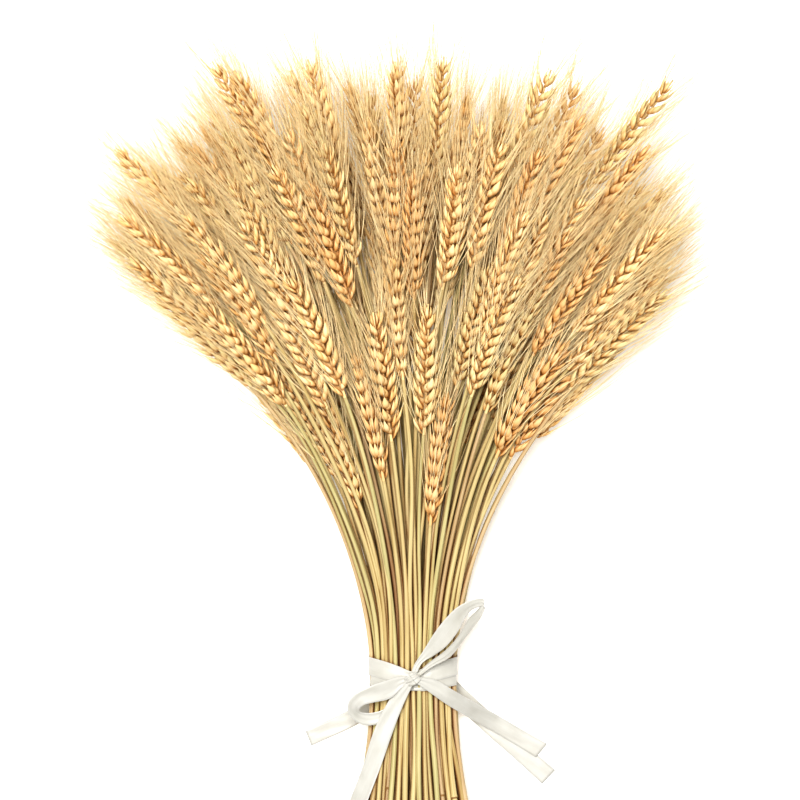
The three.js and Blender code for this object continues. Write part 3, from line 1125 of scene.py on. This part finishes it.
# Each strip's CAD node, how it lies and on what, its crown and ripple in millimetres and its own
# number, then the points of its two edges in millimetres: to the right of the bow's middle, up
# the bundle from the tie, and over the surface.
LOOPS = (
    ("bow_loop_right", "folded", "ribbon_band_satin", 0.5, 0.12, 1, (
        (-3, -0.6, 36.6), (-0.4, 6.4, 37.2), (4.4, 13.8, 38.5), (12.4, 26.6, 42), (18.8, 34.8, 45),
        (26.1, 41.7, 47.5), (35.3, 46.1, 49.5), (41.2, 46.2, 51), (37.6, 40.6, 47.5),
        (32.1, 34.4, 43.5), (26.4, 24.4, 40), (17.4, 14.2, 38.2), (7.8, 7.2, 37), (0.6, 0.4, 36.4),
    ), (
        (0, -3, 36.2), (4.1, 6.4, 36.6), (11.5, 11.4, 37), (19.6, 18, 37.8), (26, 26.4, 38.8),
        (30.3, 34.8, 41), (34.6, 39.6, 45), (41, 41.4, 51), (39.7, 36.4, 53), (35.3, 29.8, 52),
        (29.8, 22.4, 49), (20.7, 10.8, 44), (9.8, 4.4, 39.6), (1.6, -1.6, 37),
    )),
    ("bow_loop_left", "folded", "ribbon_band_satin", 0.5, 0.12, 2, (
        (-2.6, -1, 36.8), (-8.8, -1.2, 38), (-17, -3.3, 40), (-28.5, -7, 42.5), (-36.2, -11.2, 43),
        (-40.2, -17.2, 41), (-39.4, -23.6, 38.4), (-35, -28.4, 36), (-29.4, -30.6, 34.6),
        (-21.6, -29.6, 33.8), (-11, -20.6, 33.6), (-1.6, -8, 34.4),
    ), (
        (-2, -4.8, 36.4), (-7, -7, 37), (-14, -13.6, 38.4), (-24.4, -16.2, 40.5),
        (-29.8, -17.4, 41.2), (-32.8, -19.4, 40.2), (-33.4, -21.4, 38.2), (-31.6, -22.6, 36.4),
        (-26.8, -23, 35), (-19.8, -21.4, 34.2), (-10.6, -12.4, 34), (-3.4, -4.6, 34.8),
    )),
)
TAILS = (
    ("tail_left", "draped", "stalk_layer8_1_wheat", 0.35, 0.18, 3, (
        (-4.6, -3, 38), (-8.4, -7.2, 37), (-14.3, -13.6, 36), (-19.6, -22.5, 35.5),
        (-25.2, -35.4, 34.6), (-30.9, -53.8, 32), (-38.9, -75.5, 27.5), (-45.4, -92, 22),
    ), (
        (-0.8, -4.6, 38), (-2.6, -8.6, 37), (-5.4, -14.6, 36), (-8.6, -22, 35.5),
        (-14.6, -38.2, 35), (-21, -56.6, 34.6), (-29.6, -79.2, 34), (-36.2, -96.6, 31),
    )),
    ("tail_right", "draped", "stalk_layer4_8_wheat", 0.3, 0.18, 4, (
        (1.4, -1.4, 37.5), (5.6, -1.8, 36.4), (13.3, -3.9, 34.6), (22.5, -9.4, 32),
        (32, -15.6, 24), (40.8, -21.4, 13), (50.5, -27.4, 5), (63.8, -35.4, 2.2), (80.6, -45, 1.4),
    ), (
        (0.6, -5, 37), (3.4, -6.8, 36), (9, -11, 34.3), (17, -17, 31.5), (26.6, -23.6, 23.5),
        (35.4, -29.6, 12.5), (45.2, -35.8, 4.8), (58.4, -43.8, 2), (73.8, -53.4, 1.2),
    )),
    ("back_tail_left", "laid", "floor", 0.2, 0.12, 5, (
        (-20, -9.5, 1.6), (-30, -17.6, 1.2), (-42, -25.4, 0.9), (-56, -32.2, 0.9),
        (-66.6, -37.4, 0.8),
    ), (
        (-14.6, -18, 1.2), (-25, -26.8, 0.9), (-37.2, -34.6, 0.7), (-51.4, -41.2, 0.7),
        (-63, -46.4, 0.7),
    )),
    ("back_tail_right", "laid", "floor", 0.2, 0.12, 6, (
        (24, -5.4, 1.2), (38, -18.4, 1), (52, -31.6, 0.8), (68, -45.8, 0.8), (85.6, -61, 0.8),
    ), (
        (16.6, -13.6, 1), (30.4, -26.8, 0.8), (44.4, -39.8, 0.7), (60.6, -54, 0.7),
        (77.6, -69.6, 0.7),
    )),
)


class WHEAT_OT_loops(bpy.types.Operator):
    """Makes the two loops of the bow"""

    bl_idname = "wheat.loops"
    bl_label = "Loops of the bow"

    def execute(self, context):
        for strip in LOOPS:
            edge_ribbon(context, *strip)
        return {"FINISHED"}


class WHEAT_OT_tails(bpy.types.Operator):
    """Lays the four tails of the ribbon"""

    bl_idname = "wheat.tails"
    bl_label = "Tails of the ribbon"

    def execute(self, context):
        for strip in TAILS:
            edge_ribbon(context, *strip)
        return {"FINISHED"}


class WHEAT_OT_knot(bpy.types.Operator):
    """Ties the knot: a pleated wrap over the crossing of the ribbon"""

    bl_idname = "wheat.knot"
    bl_label = "Knot"

    def execute(self, context):
        ribbon = context.scene.ribbon
        length = 0.030
        heading = math.radians(38)
        run = np.array([math.cos(heading), math.sin(heading), 0.0])
        wide = np.array([-math.sin(heading), math.cos(heading), 0.0])
        upward = np.array([0, 0, 1.0])
        centre = np.array([BOW_X - 0.0014, TIE_Y - 0.0026, BAND_TOP + 0.0041])
        r_out, r_up = 0.0046, 0.0037

        def place(u, v):
            angle = 2 * np.pi * v
            squeeze = 0.54 + 0.12 * np.cos(angle * 2)
            pleat = 0.0006 * np.sin(u * 2 * np.pi * 2.4 + 1.2 * np.sin(angle))
            pleat += 0.0002 * np.sin(u * 2 * np.pi * 5 + angle)
            out = (r_out + pleat) * np.sin(angle)
            up = (r_up + pleat) * np.cos(angle) - 0.0009 * (2 * u - 1) ** 2
            side = (u - 0.5) * ribbon.width * squeeze
            return centre + run * out[:, None] + wide * side[:, None] + upward * up[:, None]

        name, flat = "ribbon_knot_satin", (ribbon.width, length)
        mesh = strip_mesh(name, *flat, 14, 40, place, ribbon.thickness)
        ribbon_piece(context, mesh, "ribbon_knot")
        return {"FINISHED"}


# ---- the stage


class WHEAT_OT_stage(bpy.types.Operator):
    """Sets the floor, the lights and the camera"""

    bl_idname = "wheat.stage"
    bl_label = "Stage"

    def execute(self, context):
        scene, stage = context.scene, context.scene.wheat_stage
        bm = bmesh.new()
        bmesh.ops.create_grid(bm, x_segments=1, y_segments=1, size=4.0)
        mesh = finished_mesh("floor", bm)
        floor = put_in_scene("floor", mesh, [floor_finish("pale_floor", stage)])

        for name, at, size, power in LIGHTS:
            light = bpy.data.lights.new(name, "AREA")
            light.shape = "DISK"
            light.size = size
            light.energy = power
            lamp = bpy.data.objects.new(name, light)
            lamp.location = at
            lamp.rotation_euler = (-Vector(at)).to_track_quat("-Z", "Y").to_euler()
            scene.collection.objects.link(lamp)

        world = bpy.data.worlds.new("studio")
        scene.world = world
        world.use_nodes = True
        background = world.node_tree.nodes["Background"]
        background.inputs["Color"].default_value = (1, 1, 1, 1)
        background.inputs["Strength"].default_value = WORLD_LIGHT

        data = bpy.data.cameras.new("camera")
        data.sensor_width = 36
        distance = stage.camera_height - BAND_TOP
        data.lens = data.sensor_width * distance / stage.view_width
        data.clip_end = 20
        camera = bpy.data.objects.new("camera", data)
        camera.location = (*VIEW_CENTRE, stage.camera_height)
        scene.collection.objects.link(camera)
        scene.camera = camera
        scene.view_settings.view_transform = "Standard"
        scene.view_settings.look = "High Contrast"
        return {"FINISHED"}


class WHEAT_PT_panel(bpy.types.Panel):
    """Lists the pieces of the bundle"""

    bl_idname = "WHEAT_PT_panel"
    bl_label = "Dried wheat bundle"
    bl_space_type = "VIEW_3D"
    bl_region_type = "UI"
    bl_category = "Wheat"

    def draw(self, context):
        for group in (context.scene.wheat, context.scene.ribbon, context.scene.wheat_stage):
            for name in group.__annotations__:
                self.layout.prop(group, name)
        for operator in OPERATORS:
            self.layout.operator(operator.bl_idname)


OPERATORS = (
    WHEAT_OT_stage,
    WHEAT_OT_stalks,
    WHEAT_OT_band,
    WHEAT_OT_knot,
    WHEAT_OT_loops,
    WHEAT_OT_tails,
)
CLASSES = (WheatSettings, RibbonSettings, StageSettings, *OPERATORS, WHEAT_PT_panel)


def register():
    for kind in CLASSES:
        bpy.utils.register_class(kind)
    bpy.types.Scene.wheat = PointerProperty(type=WheatSettings)
    bpy.types.Scene.ribbon = PointerProperty(type=RibbonSettings)
    bpy.types.Scene.wheat_stage = PointerProperty(type=StageSettings)


def unregister():
    del bpy.types.Scene.wheat_stage
    del bpy.types.Scene.ribbon
    del bpy.types.Scene.wheat
    for kind in reversed(CLASSES):
        bpy.utils.unregister_class(kind)


def main():
    register()
    bpy.ops.wheat.stage()
    bpy.ops.wheat.stalks()
    bpy.ops.wheat.band()
    bpy.ops.wheat.knot()
    bpy.ops.wheat.loops()
    bpy.ops.wheat.tails()


if __name__ == "__main__":
    main()
